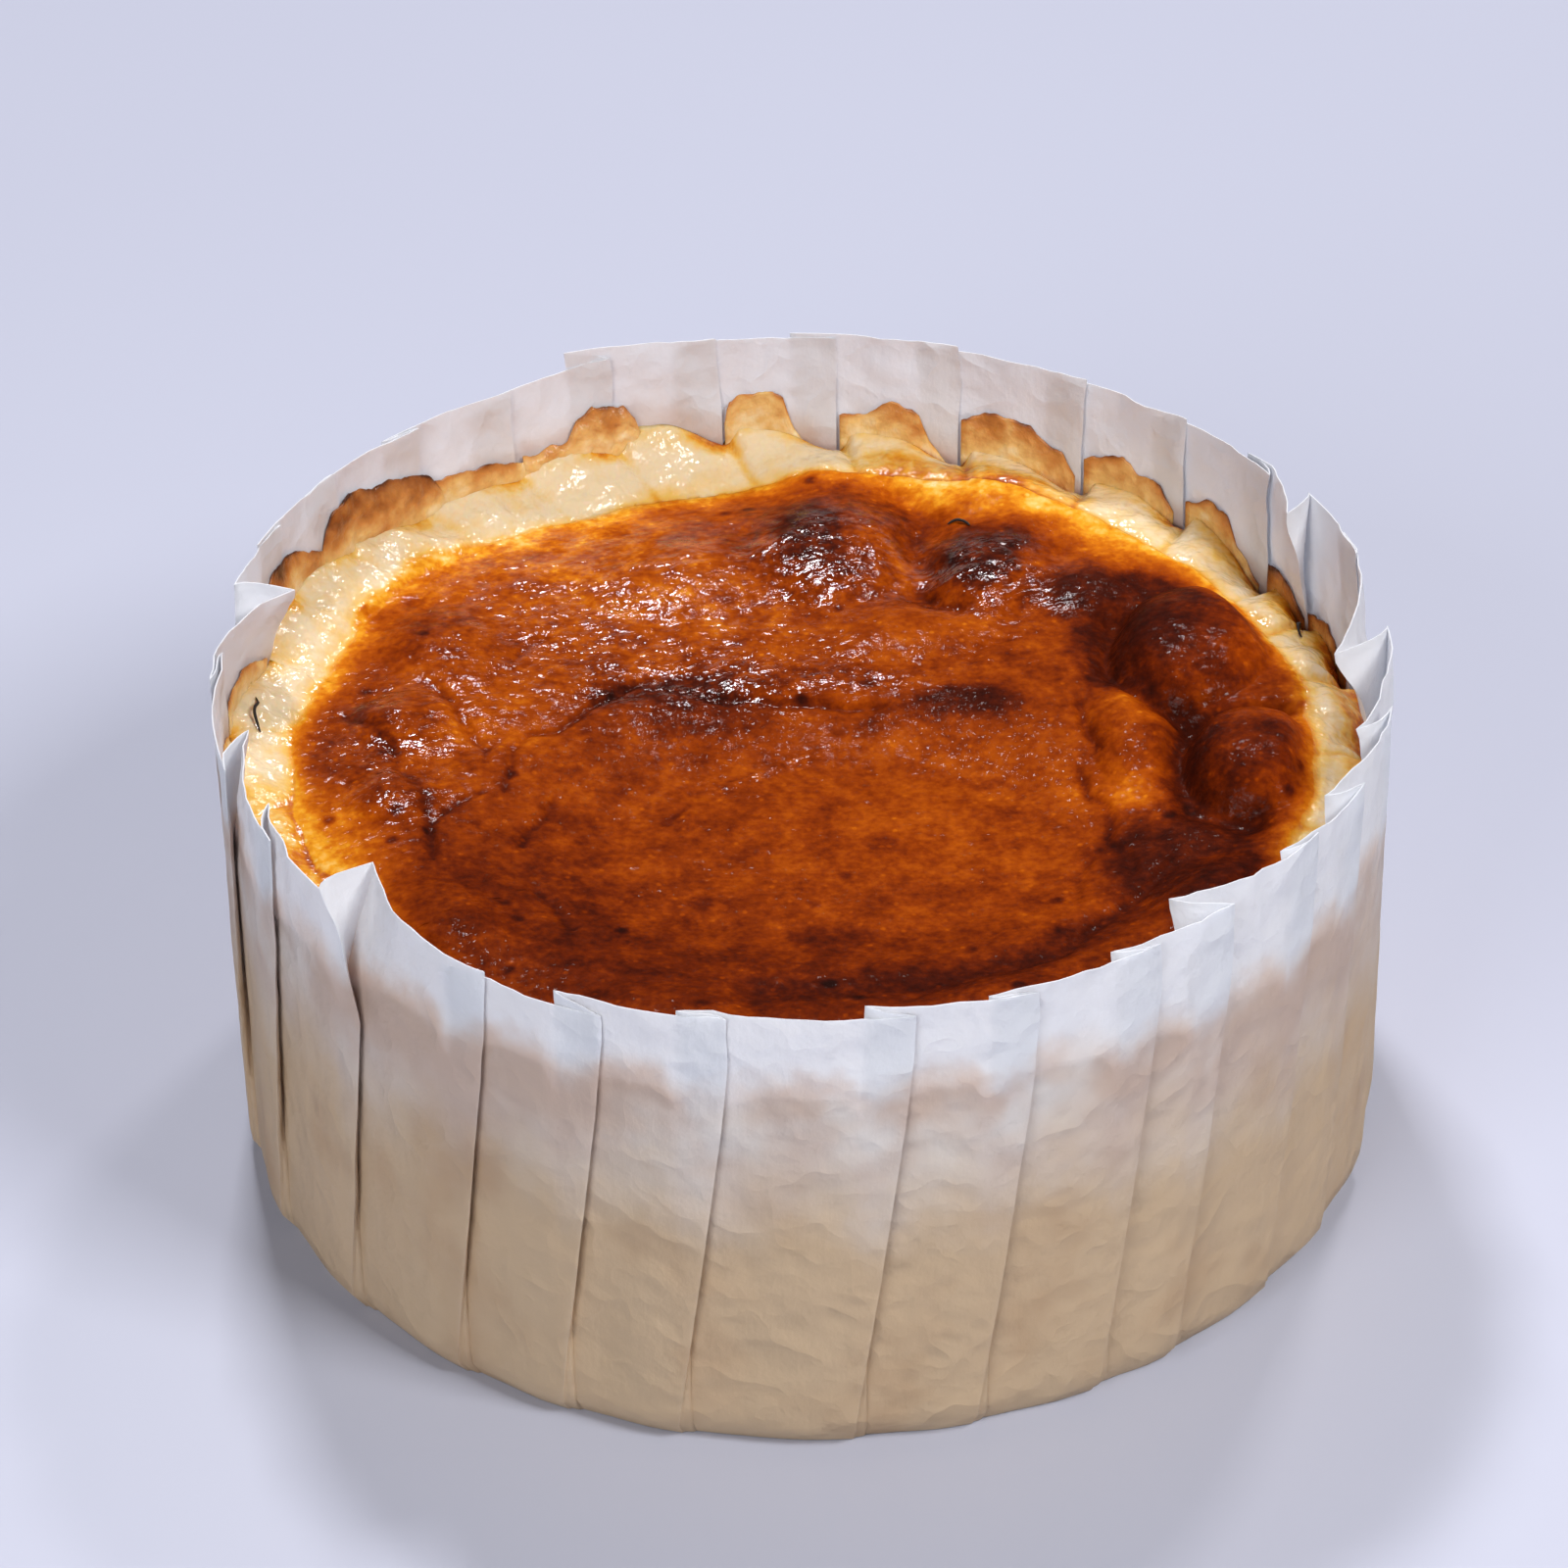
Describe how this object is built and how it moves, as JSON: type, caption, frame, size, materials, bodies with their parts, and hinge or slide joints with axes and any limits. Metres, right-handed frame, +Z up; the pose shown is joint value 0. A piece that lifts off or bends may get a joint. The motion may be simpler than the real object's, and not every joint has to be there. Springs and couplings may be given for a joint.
{
  "type": "basque cheesecake in a pleated paper case",
  "caption": "Whole round burnt cheesecake with a sunken browned top and a pale custard edge, standing in a taller pleated baking-paper case.",
  "frame": {"origin": "middle of the paper case's flat underside, where the part stands", "axes": "+Z up through the cake's middle; -Y faces the viewer of the picture; +X to that viewer's right"},
  "size_m": [0.15, 0.15, 0.0725],
  "materials": {
    "cake": "moist browned crust over pale glossy custard",
    "paper": "matt translucent baking parchment"
  },
  "bodies": {
    "root": {"cheesecake": "cake", "paper_case": "paper"}
  },
  "joints": []
}
